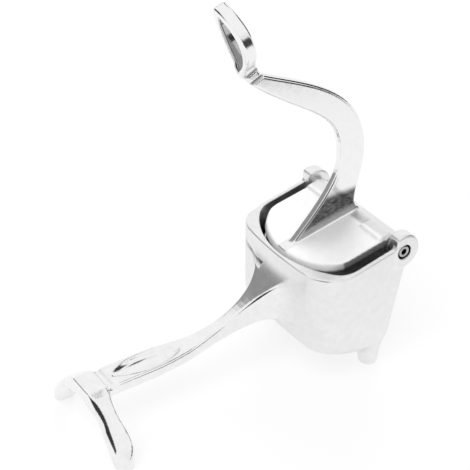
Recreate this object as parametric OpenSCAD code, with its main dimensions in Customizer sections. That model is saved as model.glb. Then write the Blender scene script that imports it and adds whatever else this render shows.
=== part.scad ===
// Lever press for lemons: a cast cup on legs with a handle arm, a strainer basket and a hinged press lever.
// Millimetres, +X towards the hinge, +Z up, origin on the ground under the middle of the length.

/* [Overall] */
// Length from the front foot to the back of the hinge ears
overall_len = 192; // [186:1:206]
// Height of the pivot axis above the ground
pivot_z = 78; // [74:1:84]

/* [Cup] */
// Outer width of the cup
cup_w = 88; // [84:1:96]
// Distance from the pivot axis to the front of the cup
cup_reach = 56.5; // [54:0.5:60]
// Radius of the two front corners, seen from above
cup_corner_r = 20; // [17:0.5:23]
// How far the front bows out past its corners
cup_bow = 1.4; // [1:0.1:3]
// Wall of the cup
cup_wall = 2.6; // [2.2:0.1:3]
// Radius of the opening's two front corners, seen from above
mouth_corner_r = 14; // [11:0.5:17]
// How far the front of the opening bows out past its corners
mouth_bow = 10; // [8:0.25:12]
// Space between the cup and the ground
floor_gap = 8; // [6:0.5:9]
// Distance of the floor's lowest line in front of the pivot axis
floor_set = 10; // [7:0.5:11]
// Radius between the sides and the floor
floor_edge_r = 18; // [12:1:24]
// Height of the rim above the pivot axis, level with the axis
rim_rise = 4.2; // [3.4:0.2:5]
// Fall of the rim towards the front, in degrees
rim_fall = 11.8; // [11:0.2:13]
// Distance from the pivot axis to the outside of the back wall
back_set = 9.7; // [9.2:0.1:10.4]
// Lean of the back wall, in degrees
back_lean = 12.7; // [11:0.1:15]
// Radius of the two back corners, seen from above
back_corner_r = 10; // [7:0.5:13]
// Drop of the back wall's edge below the pivot axis, between the ears
back_drop = 8; // [7.5:0.25:10]

/* [Pour slit] */
// Distance from the arm's middle to the near end of the slit
slit_start = 8; // [5:0.5:12]
// Width of the slit
slit_w = 25; // [16:0.5:27]
// Height of the slit
slit_h = 2.2; // [1.4:0.1:3]
// Drop of the slit below the rim
slit_drop = 7; // [5:0.25:9]

/* [Strainer shelf] */
// Length of the shelf bar inside each side wall
shelf_len = 18; // [14:0.5:19]
// Height of the shelf bar
shelf_h = 4; // [2.5:0.25:6]
// Depth of the shelf bar
shelf_w = 2; // [1.4:0.1:2.4]

/* [Hinge ears] */
// Radius of an ear
ear_r = 10.5; // [9.5:0.25:12]
// Thickness of an ear
ear_t = 8; // [7:0.25:9.5]
// How far an ear stands out from the cup's side
ear_proud = 1; // [0.5:0.25:2]
// Distance from the pivot axis to the flat front of an ear
ear_front = 5; // [4:0.25:7]

/* [Pivot] */
// Diameter of the pivot rod
rod_d = 7; // [6.5:0.1:7.5]
// Diameter of the screws in the rod's ends
screw_d = 4; // [3:0.1:4.4]
// Length of a screw under its head
screw_len = 10; // [7:0.5:14]
// Diameter of a screw's head
head_d = 7; // [6:0.1:8]
// Height of a screw's head
head_h = 4; // [3:0.1:4.4]
// Depth of the head below the face of the ear
head_sink = 0.5; // [0.2:0.1:0.9]
// Width across the flats of the hexagon socket
socket_af = 3; // [2.5:0.1:3.6]
// Depth of the hexagon socket
socket_depth = 2.2; // [1.5:0.1:2.8]
// Diameter of the counterbore round a head
counterbore_d = 8.8; // [8.2:0.1:10]
// Outer diameter of the spacers beside the barrel
spacer_d = 11; // [10:0.2:12]
// Radial clearance of the barrel on the rod
run_fit = 0.06; // [0.03:0.01:0.1]
// Radial clearance of the parts that stay still on the rod
rod_fit = 0.05; // [0.03:0.01:0.1]
// End play of the barrel at each spacer
end_play = 0.2; // [0.15:0.05:0.4]

/* [Legs] */
// Diameter of a back leg at the ground
leg_d = 11.2; // [9:0.2:13]
// Diameter of a back leg inside the cup's wall
leg_top_d = 18; // [15:0.5:19]
// Height of a back leg up to its widest part
leg_h = 30; // [24:1:34]
// Distance of the back legs in front of the pivot axis
leg_set = 12.3; // [11:0.1:16]
// Distance between the back legs
leg_spread = 67; // [60:1:69]
// Height of the round edge under a leg
leg_edge = 2; // [0.5:0.25:3]

/* [Handle arm] */
// Height of the arm's top edge at the cup, below the pivot axis
arm_root_drop = 8.5; // [8:0.5:11]
// Depth of the arm where it leaves the cup
arm_root_h = 33; // [28:0.5:34]
// Width of the arm where it leaves the cup
arm_root_w = 40; // [32:1:44]
// Length over which the root narrows
arm_flare = 8; // [5:0.25:9]
// Width of the narrow part
arm_waist_w = 7.6; // [6:0.2:10]
// Distance from the pivot axis to the narrow part
arm_waist_x = 90; // [84:1:96]
// Height of the thumb pad's top above the ground
pad_z = 34.5; // [31:0.5:37]
// Thickness of the arm at the thumb pad
pad_t = 7.5; // [6:0.25:9]
// Width of the thumb pad
pad_w = 18.4; // [16.5:0.2:22]
// Distance from the pivot axis to the middle of the thumb pad
pad_x = 140; // [137:0.5:143]
// Length of the dish in the thumb pad
dish_len = 46; // [36:1:48]
// Width of the dish
dish_w = 14.6; // [11:0.2:15]
// Depth of the dish
dish_depth = 3.6; // [2:0.1:4.5]

/* [Front foot] */
// Height of the foot's arch
foot_h = 35.5; // [33:0.5:37]
// Width of the foot over its two legs
foot_span = 76.6; // [68:0.2:84]
// Thickness of the foot in the middle
foot_t = 9; // [7:0.25:10]
// Width of the flat on top of the arch
foot_flat = 16; // [12:0.5:20]
// Width of a foot leg's sole
sole_w = 4; // [3:0.25:6]
// Width of the foot in the middle
foot_root_w = 12; // [10:0.2:15]
// Width of a foot leg at its waist
foot_waist_w = 8.8; // [7:0.2:11]
// Width of a foot leg at its end
foot_end_w = 12.6; // [11:0.2:15]

/* [Press plate] */
// Space between the plate's sides and the cup
plate_gap = 7; // [6:0.25:8]
// Space between the plate's front and the cup
front_gap = 1.5; // [1.2:0.1:2]
// Thickness of the press plate
plate_t = 6; // [4.8:0.2:7]
// Radius of the plate's front corners, seen from above
plate_corner_r = 20; // [15:0.5:24]
// How far the plate's front bows out past its corners
plate_bow = 4; // [2.5:0.25:6]
// Slope of the plate at rest, in degrees
plate_tilt = 10.5; // [8:0.5:13]
// Outer diameter of the hinge barrel
barrel_d = 12.5; // [11.7:0.2:13.1]
// How far the barrel stands out past the plate's sides
barrel_proud = 0.4; // [0.3:0.1:0.6]
// Number of ribs under the plate
rib_count = 5; // [3:1:7]
// Width of a rib
rib_w = 3; // [2:0.25:4]
// Depth of a rib
rib_h = 2; // [1:0.25:3]
// Length of the two bosses on the plate beside the web
boss_len = 18; // [12:0.5:20]
// Width of a boss
boss_w = 8; // [6:0.25:9]
// Height of a boss
boss_h = 1; // [0.6:0.1:1.6]

/* [Lever] */
// Thickness of the lever's web and arm
web_t = 5.5; // [4.5:0.25:7]
// Distance from the web's foot on the plate to the plate's front edge
web_toe = 5.5; // [3:0.25:8]
// Width of the lever at its belly
belly_w = 16.5; // [14:0.25:20]
// Height of the belly above the pivot axis
belly_z = 43; // [40:0.5:46]
// Distance of the belly's back edge behind the pivot axis
belly_back = 2.4; // [1:0.2:4]
// Width of the lever's arm at the neck
neck_w = 8.3; // [7.5:0.1:10]
// Slope of the neck's end, in degrees
neck_slope = 26; // [20:1:32]
// Height of the neck above the pivot axis
neck_z = 108.6; // [104:0.2:112]
// Distance of the neck in front of the pivot axis
neck_x = 70.7; // [67:0.1:74]
// Width of the band between the two grooves at the neck
collar_w = 6; // [4:0.25:7]
// Depth and width of the grooves
collar_cut = 0.8; // [0.4:0.1:1]

/* [Loop] */
// Length of the loop from the neck to its tip
loop_len = 49; // [45:0.5:54]
// Width of the loop
loop_w = 21; // [18:0.5:24]
// Thickness of the loop
loop_t = 7.6; // [6:0.2:9]
// Radius of the bow of the loop towards the front
loop_bow_r = 104; // [80:1:160]
// Lean of the loop at the neck, in degrees
loop_tilt = 6; // [3:0.5:10]
// Distance of the loop's root in front of the neck
loop_set = 4.3; // [3:0.1:5]
// Distance from the neck to the loop's pointed root
loop_start = 4; // [3:0.25:5]
// Length of the hole
hole_len = 34; // [28:0.5:36]
// Width of the hole
hole_w = 13; // [9:0.25:14]
// Distance from the neck to the near end of the hole
hole_start = 8; // [7:0.25:9]

/* [Strainer] */
// Wall of the strainer
strainer_t = 2; // [1.6:0.1:2.2]
// Space between the strainer and the cup's back wall
seat_gap = 0.8; // [0.5:0.1:1.2]
// Space between the press plate's front and the strainer
sweep_gap = 1.9; // [1.5:0.1:2.1]
// Space between the press plate's sides and the strainer
side_gap = 2.4; // [1.6:0.1:2.4]
// Radius of the strainer's corners, in a section through the pivot axis
basket_corner_r = 21; // [19:0.5:22]
// How far the strainer's front bows out past its corners
basket_bow = 5; // [4.5:0.1:5.4]
// Drop of the strainer's edge below the rim
basket_drop = 12; // [11.5:0.25:14]
// Thickness of the two side flanges on the shelf bars
flange_t = 2; // [1.4:0.1:2.6]
// Space between a flange and the cup's side wall
flange_gap = 0.4; // [0.3:0.1:0.6]
// Distance from the pivot axis to the back end of the flanges and shelf bars
flange_back = 9; // [8.5:0.25:11]
// Clearance between the strainer and the hinge
hinge_clear = 1; // [0.6:0.1:1.2]
// Width of a drain slot
slot_w = 3; // [2:0.25:4]
// Length of a drain slot
slot_len = 13; // [8:0.5:14]
// Distance between the slots
slot_pitch = 8; // [6.5:0.25:10]

/* [Hidden] */
$fn = 96;
cast = "#d4d6d6";
polished = "#e4e6e7";
steel = "#b9bcc0";
far_off = 400;
cut = 1;
curve_steps = 14;

pivot_x = overall_len / 2 - ear_r;
floor_r = pivot_z - floor_gap;
ear_span = cup_w + 2 * ear_proud;
ear_gap = ear_span - 2 * ear_t;

plate_w = cup_w - 2 * cup_wall - 2 * plate_gap;
barrel_r = barrel_d / 2;
barrel_len = plate_w + 2 * barrel_proud;
spacer_t = (ear_gap - barrel_len) / 2 - end_play;
plate_reach = cup_reach - cup_wall - front_gap;
basket_r = plate_reach + sweep_gap;
basket_w = plate_w + 2 * side_gap;
inner_w = cup_w - 2 * cup_wall;

counterbore_h = head_h + head_sink;
rod_end_gap = 0.4;
rod_len = ear_span - 2 * (counterbore_h + rod_end_gap);
tap_depth = screw_len + 2;

foot_x = -overall_len / 2 + foot_end_w / 2;

// Point at t on a cubic curve through its first and last control points
function bezier_at(p, t) =
    pow(1 - t, 3) * p[0] + 3 * t * pow(1 - t, 2) * p[1] + 3 * t * t * (1 - t) * p[2] + pow(t, 3) * p[3];
function bezier(p) = [for (i = [0:curve_steps]) bezier_at(p, i / curve_steps)];
function reversed(list) = [for (i = [len(list) - 1:-1:0]) list[i]];
function ease(t) = t <= 0 ? 0 : t >= 1 ? 1 : t * t * (3 - 2 * t);

module at_pivot() {
    translate([pivot_x, 0, pivot_z]) children();
}

// Cylinder along Y from y0 to y1
module y_cylinder(r, y0, y1) {
    translate([0, y1, 0]) rotate([90, 0, 0]) cylinder(r = r, h = y1 - y0);
}

// Flat shape drawn in X and Z, extruded along Y about the middle plane
module y_plate(thickness) {
    rotate([90, 0, 0]) linear_extrude(thickness, center = true) children();
}

// D-shaped outline in front of the axis: straight sides, round corners and a bowed front, shrunk by inset
module d_outline(reach, width, corner_r, bow, back, inset = 0) {
    corner_x = reach - bow - corner_r;
    corner_y = width / 2 - corner_r;
    bow_r = (bow * bow + 2 * bow * corner_r + corner_y * corner_y) / (2 * bow);
    bow_x = bow_r - reach;
    spread = atan2(corner_y, corner_x + bow_x);
    wedge = [bow_x - 2 * bow_r * cos(spread), 2 * bow_r * sin(spread)];
    translate([-corner_x, inset - width / 2]) square([corner_x + back, width - 2 * inset]);
    for (side = [-1, 1]) {
        translate([-corner_x, side * corner_y]) circle(corner_r - inset);
    }
    intersection() {
        translate([bow_x, 0]) circle(bow_r - inset);
        polygon([[-corner_x, corner_y], wedge, [wedge.x, -wedge.y], [-corner_x, -corner_y]]);
    }
}

module cup_outline() {
    d_outline(cup_reach, cup_w, cup_corner_r, cup_bow, 30);
}

// Outline of the cup's opening, whose round front leaves a wide rim at the corners
module mouth_outline() {
    d_outline(cup_reach - cup_wall, inner_w, mouth_corner_r, mouth_bow, 30);
}

// Revolved block with round edges: the cup's sides and its round floor
module sweep_block(inset) {
    edge_r = floor_edge_r - inset;
    outer_r = floor_r - inset;
    half_w = cup_w / 2 - inset;
    translate([-floor_set, 0, 0]) rotate([90, 0, 0]) rotate_extrude() {
        translate([0, -half_w]) square([outer_r - edge_r, 2 * half_w]);
        translate([0, edge_r - half_w]) square([outer_r, 2 * (half_w - edge_r)]);
        for (side = [-1, 1]) {
            translate([outer_r - edge_r, side * (half_w - edge_r)]) circle(edge_r);
        }
    }
}

// Everything in front of the back wall's outer face with its round corners, moved inwards by inset
module before_back(inset = 0) {
    corner_r = back_corner_r - inset;
    half_w = cup_w / 2 - inset;
    back_x = back_set - inset;
    rotate([0, back_lean, 0]) translate([0, 0, -far_off / 2]) linear_extrude(far_off) {
        translate([-far_off, -half_w]) square([far_off + back_x - corner_r, 2 * half_w]);
        translate([-far_off, corner_r - half_w]) square([far_off + back_x, 2 * (half_w - corner_r)]);
        for (side = [-1, 1]) {
            translate([back_x - corner_r, side * (half_w - corner_r)]) circle(corner_r);
        }
    }
}

// Everything above the plane that lies below the rim by drop
module above_rim(drop = 0) {
    rotate([0, -rim_fall, 0])
        translate([-far_off / 2, -far_off / 2, rim_rise * cos(rim_fall) - drop]) cube(far_off);
}

// Layer of a box along the rim plane, from the drop top down by height
module rim_layer(x0, length, width, top, height) {
    low = rim_rise * cos(rim_fall) - top - height;
    rotate([0, -rim_fall, 0]) translate([x0, -width / 2, low]) cube([length, width, height]);
}

// Rounded block whose plan is the child outline, shrunk by inset at its floor and back
module cup_block(inset = 0) {
    intersection() {
        sweep_block(inset);
        translate([0, 0, -far_off / 2]) linear_extrude(far_off) children();
        before_back(inset);
    }
}

module ear_profile() {
    intersection() {
        circle(ear_r);
        translate([-ear_front, -far_off / 2]) square(far_off);
    }
}

module ears() {
    for (side = [-1, 1]) {
        translate([0, side * (ear_span - ear_t) / 2, 0]) y_plate(ear_t) ear_profile();
    }
}

// Half width of the arm at x in front of the pivot: a flared root, a waist and the wider thumb pad
function arm_half(x) =
    let (root = (arm_root_w - arm_waist_w) / 2 * exp((cup_reach + x) / arm_flare),
         pad = (pad_w - arm_waist_w) / 2 * ease((-x - arm_waist_x) / (pad_x - arm_waist_x)))
    arm_waist_w / 2 + min(root, (arm_root_w - arm_waist_w) / 2) + pad;

module arm_plan() {
    x_foot = foot_x - pivot_x;
    x_root = cup_wall - cup_reach;
    steps = 40;
    near = [for (i = [0:steps]) let (x = x_foot + (x_root - x_foot) * i / steps) [x, -arm_half(x)]];
    far = [for (p = reversed(near)) [p.x, -p.y]];
    polygon(concat(near, far));
}

module arm_side() {
    x_foot = foot_x - pivot_x;
    x_pad = -pad_x + dish_len / 2;
    x_root = cup_wall - cup_reach;
    top_z = pad_z - pivot_z;
    low_z = top_z - pad_t;
    root_low = -arm_root_drop - arm_root_h;
    top = bezier([[x_root, -arm_root_drop], [x_root - 10, -arm_root_drop - 18],
                  [x_pad + 25, top_z + 2], [x_pad, top_z]]);
    low = bezier([[x_pad, low_z], [x_pad + 22, low_z + 0.5], [x_root - 18, root_low - 1], [x_root, root_low]]);
    polygon(concat(top, [[x_foot, top_z], [x_foot, low_z]], low));
}

// Spindle above the thumb pad whose underside is the dish
module dish() {
    flank = dish_w / 2;
    spindle_r = (flank * flank + dish_depth * dish_depth) / (2 * dish_depth);
    axis_z = spindle_r - dish_depth;
    half_len = dish_len / 2;
    arc_r = (half_len * half_len + dish_depth * dish_depth) / (2 * dish_depth);
    translate([-pad_x, 0, pad_z - pivot_z + axis_z]) rotate([0, 90, 0]) rotate_extrude() intersection() {
        translate([spindle_r - arc_r, 0]) circle(arc_r, $fn = 240);
        translate([0, -half_len]) square([spindle_r, dish_len]);
    }
}

module arm() {
    intersection() {
        y_plate(arm_root_w + 2 * cut) arm_side();
        translate([0, 0, -pivot_z]) linear_extrude(pivot_z) arm_plan();
    }
}

// Front view of the foot: two bowed legs that meet in a flat top
module foot_front() {
    half = foot_span / 2;
    flat = foot_flat / 2;
    outside = bezier([[flat, foot_h], [flat + 12, foot_h - 6.5], [half - 1.8, 13], [half, 3]]);
    sole = [[half - 0.7, 0.8], [half - 1.8, 0], [half - 1.8 - sole_w, 0]];
    under = bezier([[half - 1.8 - sole_w, 0], [half - 7.3 - sole_w, 10],
                    [14, foot_h - foot_t - 3.5], [4, foot_h - foot_t]]);
    right = concat(outside, sole, under);
    left = [for (p = reversed(right)) [-p.x, p.y]];
    polygon(concat(right, left));
}

// Half width of the foot at a distance y from the middle: root, waist and round end
function foot_half(y) =
    let (end_r = foot_end_w / 2, end_y = foot_span / 2 - end_r, waist_y = end_y * 0.62, root_y = end_y * 0.2,
         past = y - end_y)
    past > 0 ? sqrt(max(0, end_r * end_r - past * past))
    : y > waist_y ? foot_waist_w / 2 + (end_r - foot_waist_w / 2) * ease((y - waist_y) / (end_y - waist_y))
    : foot_root_w / 2 + (foot_waist_w - foot_root_w) / 2 * ease((y - root_y) / (waist_y - root_y));

module foot_plan() {
    half = foot_span / 2;
    steps = 44;
    ys = [for (i = [0:steps]) half * sin(180 * i / steps - 90)];
    front = [for (y = ys) [-foot_half(abs(y)), y]];
    rear = [for (y = reversed(ys)) [foot_half(abs(y)), y]];
    polygon(concat(front, rear));
}

module foot() {
    translate([foot_x, 0, 0]) intersection() {
        rotate([90, 0, 90]) linear_extrude(2 * foot_end_w, center = true) foot_front();
        linear_extrude(foot_h + cut) foot_plan();
    }
}

module back_legs() {
    for (side = [-1, 1]) {
        translate([-leg_set, side * leg_spread / 2, -pivot_z]) rotate_extrude() {
            square([leg_d / 2 - leg_edge, leg_h]);
            polygon([[0, leg_edge], [leg_d / 2, leg_edge], [leg_top_d / 2, leg_h], [0, leg_h]]);
            translate([leg_d / 2 - leg_edge, leg_edge]) circle(leg_edge);
        }
    }
}

// Two bars inside the side walls that carry the strainer
module shelves() {
    drop = basket_drop + flange_t;
    difference() {
        rim_layer(-flange_back - shelf_len, shelf_len, inner_w + cup_wall, drop, shelf_h);
        translate([-far_off / 2, shelf_w - inner_w / 2, -far_off / 2])
            cube([far_off, inner_w - 2 * shelf_w, far_off]);
    }
}

// Slit through the front wall, on the far side of the arm
module pour_slit() {
    translate([0, slit_start + slit_w / 2, 0])
        rim_layer(-2 * cup_reach, 1.5 * cup_reach, slit_w, slit_drop, slit_h);
}

// Cup with its legs and the arm, before the hinge bores
module cup() {
    difference() {
        union() {
            difference() {
                cup_block() cup_outline();
                above_rim();
                translate([0, -far_off / 2, 0]) cube(far_off);
            }
            back_legs();
            arm();
        }
        cup_block(cup_wall) mouth_outline();
        translate([-ear_r, -ear_gap / 2, -back_drop]) cube([3 * ear_r, ear_gap, far_off]);
        pour_slit();
    }
}

module body() {
    color(cast) {
        at_pivot() difference() {
            union() {
                cup();
                shelves();
                ears();
            }
            dish();
            y_cylinder(rod_d / 2 + rod_fit, -ear_span, ear_span);
            for (side = [-1, 1]) {
                translate([0, side * ear_span / 2, 0]) y_cylinder(counterbore_d / 2, -counterbore_h, counterbore_h);
            }
        }
        foot();
    }
}

// Sweep of the press plate's outline about the pivot axis, grown outwards by grow
module basket_sweep(grow = 0) {
    rotate([90, 0, 0]) rotate_extrude() intersection() {
        mirror([1, 0]) d_outline(basket_r, basket_w, basket_corner_r, basket_bow, 0, -grow);
        translate([0, -far_off / 2]) square(far_off);
    }
}

// Slot along the sweep, drawn at its angle below the horizontal
module drain_slot(angle, y) {
    rotate([0, -angle, 0]) translate([-basket_r, y, 0]) {
        cube([6 * strainer_t, slot_w, slot_len - slot_w], center = true);
        for (end = [-1, 1]) {
            translate([0, 0, end * (slot_len - slot_w) / 2]) rotate([0, 90, 0])
                cylinder(d = slot_w, h = 6 * strainer_t, center = true, $fn = 24);
        }
    }
}

module drain_slots() {
    reach_y = basket_w / 2 - basket_corner_r * 0.4;
    rows = [32, 50, 68];
    count = floor(reach_y / slot_pitch);
    for (angle = rows, i = [-count:count]) {
        drain_slot(angle, i * slot_pitch);
    }
}

module basket() {
    difference() {
        intersection() {
            basket_sweep(strainer_t);
            before_back(cup_wall + seat_gap);
        }
        intersection() {
            basket_sweep();
            before_back(cup_wall + seat_gap + strainer_t);
        }
        above_rim(basket_drop);
    }
}

// Two strips beside the basket that rest on the shelf bars
module flanges() {
    difference() {
        rim_layer(-flange_back - shelf_len, shelf_len, inner_w - 2 * flange_gap, basket_drop, flange_t);
        basket_sweep(strainer_t / 2);
    }
}

module strainer() {
    color(polished) at_pivot() difference() {
        union() {
            basket();
            flanges();
        }
        for (side = [-1, 1]) {
            translate([0, side * ear_span / 2, 0])
                y_cylinder(ear_r + hinge_clear, -ear_t - spacer_t - hinge_clear, ear_t + spacer_t + hinge_clear);
        }
        drain_slots();
    }
}

module press_plate() {
    rib_len = plate_reach - plate_bow - plate_corner_r / 2 - 2 * barrel_r;
    rib_step = (plate_w - 2 * plate_corner_r) / (rib_count - 1) * 1.5;
    rotate([0, -plate_tilt, 0]) {
        linear_extrude(plate_t) d_outline(plate_reach, plate_w, plate_corner_r, plate_bow, 0);
        for (i = [0:rib_count - 1]) {
            translate([-2 * barrel_r - rib_len, (i - (rib_count - 1) / 2) * rib_step - rib_w / 2, -rib_h])
                cube([rib_len, rib_w, rib_h + cut]);
        }
        for (side = [-1, 1]) {
            translate([-0.3 - boss_w / 2, side * (plate_w / 2 - 0.6 - boss_len / 2), plate_t + boss_h / 2])
                cube([boss_w, boss_len, boss_h + cut], center = true);
        }
    }
    y_cylinder(barrel_r, -barrel_len / 2, barrel_len / 2);
}

// Side view of the web and the bent arm, from the plate to the neck
module lever_side() {
    belly_front = belly_back - belly_w;
    toe = plate_reach - web_toe;
    toe_z = (plate_t - cut) * cos(plate_tilt) - toe * sin(plate_tilt);
    half_neck = neck_w / 2 * [cos(neck_slope), sin(neck_slope)];
    neck_front = [-neck_x, neck_z] - half_neck;
    neck_back = [-neck_x, neck_z] + half_neck;
    front = bezier([[-toe, toe_z], [-toe + 17, toe_z + 16.5], [belly_front, belly_z - 14], [belly_front, belly_z]]);
    front_arm = bezier([[belly_front, belly_z], [belly_front, belly_z + 33],
                        neck_front + [36, -30.5], neck_front]);
    back_arm = bezier([neck_back, neck_back + [32, -15], [belly_back, belly_z + 41], [belly_back, belly_z]]);
    back = bezier([[belly_back, belly_z], [belly_back, belly_z - 12],
                   [-3, barrel_r + 16], [-2.8, barrel_r + 6]]);
    heel = [[-1.5, barrel_r + 3.2], [1, barrel_r - 0.3], [0, 0], [-barrel_r, 0]];
    brow = [neck_front + [-5.2, 6.7], neck_front + [-6, 10], neck_back + [-5, 8.1], neck_back + [-2.5, 3.7]];
    polygon(concat(front, front_arm, brow, back_arm, back, heel));
}

// Radius of the two arcs of a pointed oval
function leaf_arc(length, width) = (length * length + width * width) / (4 * width);
// Half width of a pointed oval at a distance d from its end
function leaf_half(length, width, d) =
    let (r = leaf_arc(length, width)) width / 2 - r + sqrt(r * r - pow(length / 2 - d, 2));

// Pointed oval with its lower end at the origin and its length along +Y
module leaf(length, width) {
    arc_r = leaf_arc(length, width);
    translate([0, length / 2]) intersection_for(side = [-1, 1]) {
        translate([side * (arc_r - width / 2), 0]) circle(arc_r, $fn = 144);
    }
}

// Prism through the loop, drawn along the chord of its bow
module through_loop() {
    chord_tilt = loop_tilt + asin(loop_len / (2 * loop_bow_r));
    rotate([0, -chord_tilt, 0]) rotate([90, 0, 90]) linear_extrude(4 * loop_t, center = true) children();
}

module loop() {
    intersection() {
        rotate([0, -loop_tilt, 0]) y_plate(loop_w + 2 * cut) translate([loop_t / 2 - loop_bow_r, 0]) difference() {
            circle(loop_bow_r, $fn = 200);
            circle(loop_bow_r - loop_t, $fn = 200);
        }
        through_loop() translate([0, loop_start]) leaf(loop_len - loop_start, loop_w);
    }
}

// Grooves across both sides of the neck
module neck_grooves() {
    for (side = [-1, 1], d = [0, collar_w]) {
        half = max(web_t / 2, leaf_half(loop_len - loop_start, loop_w, max(0, d - loop_start)));
        rotate([0, -neck_slope, 0]) translate([0, side * half, d])
            cube([2 * neck_w, 2 * collar_cut, collar_cut], center = true);
    }
}

module press_lever() {
    color(polished) at_pivot() difference() {
        union() {
            press_plate();
            y_plate(web_t) lever_side();
            translate([-neck_x - loop_set, 0, neck_z]) loop();
        }
        translate([-neck_x - loop_set, 0, neck_z]) through_loop() translate([0, hole_start]) leaf(hole_len, hole_w);
        translate([-neck_x, 0, neck_z]) neck_grooves();
        y_cylinder(rod_d / 2 + run_fit, -plate_w, plate_w);
    }
}

module pivot_rod() {
    color(steel) at_pivot() difference() {
        y_cylinder(rod_d / 2, -rod_len / 2, rod_len / 2);
        for (side = [-1, 1]) {
            translate([0, side * rod_len / 2, 0]) y_cylinder(screw_d / 2 + rod_fit, -tap_depth, tap_depth);
        }
    }
}

// Socket-head screw along +Y with the underside of its head at the origin
module socket_screw() {
    difference() {
        union() {
            y_cylinder(head_d / 2, -head_h, 0);
            y_cylinder(screw_d / 2, -cut, screw_len);
        }
        translate([0, socket_depth - head_h, 0]) rotate([90, 0, 0])
            cylinder(d = socket_af / cos(30), h = head_h, $fn = 6);
    }
}

module pivot_screw_near() {
    color(steel) at_pivot() translate([0, counterbore_h - ear_span / 2, 0]) socket_screw();
}

module pivot_screw_far() {
    color(steel) at_pivot() mirror([0, 1, 0]) translate([0, counterbore_h - ear_span / 2, 0]) socket_screw();
}

// Washer against the inner face of the ear at y
module spacer(y0) {
    difference() {
        y_cylinder(spacer_d / 2, y0, y0 + spacer_t);
        y_cylinder(rod_d / 2 + rod_fit, y0 - cut, y0 + spacer_t + cut);
    }
}

module pivot_spacer_near() {
    color(steel) at_pivot() spacer(-ear_gap / 2);
}

module pivot_spacer_far() {
    color(steel) at_pivot() spacer(ear_gap / 2 - spacer_t);
}

body();
strainer();
press_lever();
pivot_rod();
pivot_screw_near();
pivot_screw_far();
pivot_spacer_near();
pivot_spacer_far();
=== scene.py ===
"""Looks of a cast lever press for lemons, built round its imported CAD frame.

Shapes are in millimetres from the pivot axis, with +X towards the hinge and +Z up.
They become metres in the frame when their meshes are made.
"""

import math

import bpy
import numpy as np
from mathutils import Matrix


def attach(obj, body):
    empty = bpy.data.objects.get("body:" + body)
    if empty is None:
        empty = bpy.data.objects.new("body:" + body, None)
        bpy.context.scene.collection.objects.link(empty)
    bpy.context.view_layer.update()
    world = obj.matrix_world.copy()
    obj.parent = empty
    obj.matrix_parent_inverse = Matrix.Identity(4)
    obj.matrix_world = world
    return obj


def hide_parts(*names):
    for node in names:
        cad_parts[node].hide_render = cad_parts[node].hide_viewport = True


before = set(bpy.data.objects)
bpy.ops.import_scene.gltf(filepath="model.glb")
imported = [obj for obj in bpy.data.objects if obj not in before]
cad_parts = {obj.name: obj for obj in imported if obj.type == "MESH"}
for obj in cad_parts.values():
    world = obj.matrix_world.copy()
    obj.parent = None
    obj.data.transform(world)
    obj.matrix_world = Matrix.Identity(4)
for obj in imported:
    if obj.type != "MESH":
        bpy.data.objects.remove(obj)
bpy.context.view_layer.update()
scene = bpy.context.scene

# Place of the pivot axis in the frame
PIVOT = np.array([85.5, 0.0, 78.0])
GROUND = -PIVOT[2]
MM_PER_M = 1000

# Plan outlines: reach in front of the axis, width, corner radius and bow of the front
CUP_PLAN = (56.5, 88.0, 20.0, 1.4)
MOUTH_PLAN = (53.9, 82.8, 14.0, 10.0)
PLATE_PLAN = (52.4, 68.8, 20.0, 4.0)
BASKET_PLAN = (54.3, 73.6, 21.0, 5.0)
WALL = 2.6

# Widths of the rounded edges that several shapes share
FINE_EDGE = 0.4
CUT_EDGE = 0.6
CAST_EDGE = 0.8
SOFT_EDGE = 1.0


# Fields: negative inside a shape and positive outside

def smax(a, b, k):
    """Larger of two fields, with the edge between them rounded over a width k."""
    h = np.maximum(k - np.abs(a - b), 0.0) / k
    return np.maximum(a, b) + h * h * k * 0.25


def smin(a, b, k):
    """Smaller of two fields, with a fillet of width k between them."""
    return -smax(-a, -b, k)


def rounded(a, b, r):
    """Round corner of radius r between the sides a = 0 and b = 0."""
    a, b = a + r, b + r
    return np.hypot(np.maximum(a, 0), np.maximum(b, 0)) + np.minimum(np.maximum(a, b), 0) - r


def slab(t, low, high):
    return np.abs(t - (low + high) / 2) - (high - low) / 2


def bar(first, second, third, k):
    """What three slabs share, with rounded edges."""
    return smax(smax(first, second, k), third, k)


def turned(x, z, degrees):
    """Coordinates along and across a plane that falls towards the front by an angle."""
    c = math.cos(math.radians(degrees))
    s = math.sin(math.radians(degrees))
    return x * c + z * s, z * c - x * s


def d_plan(x, y, plan, inset=0.0):
    """Field of a D outline, straight at the sides and bowed in front."""
    reach, width, r, bow = plan
    u, v = -x, np.abs(y)
    cx, cy = reach - bow - r, width / 2 - r
    bow_r = (bow * bow + 2 * bow * r + cy * cy) / (2 * bow)
    bx = reach - bow_r
    front = np.hypot(u - bx, v) - bow_r
    corner = np.hypot(u - cx, v - cy) - r
    round_end = np.where((cx - bx) * v < cy * (u - bx), front, corner)
    return np.where(u < cx, v - width / 2, round_end) + inset


def leaf(y, along, start, length, width):
    """Field of a pointed leaf between two arcs."""
    arc_r = (length ** 2 + width ** 2) / (4 * width)
    return np.hypot(np.abs(y) + arc_r - width / 2, along - start - length / 2) - arc_r


def bezier(p, steps=24):
    t = np.linspace(0, 1, steps + 1)[:, None]
    p = np.array(p, float)
    return (1 - t) ** 3 * p[0] + 3 * t * (1 - t) ** 2 * p[1] + 3 * t * t * (1 - t) * p[2] + t ** 3 * p[3]


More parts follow.
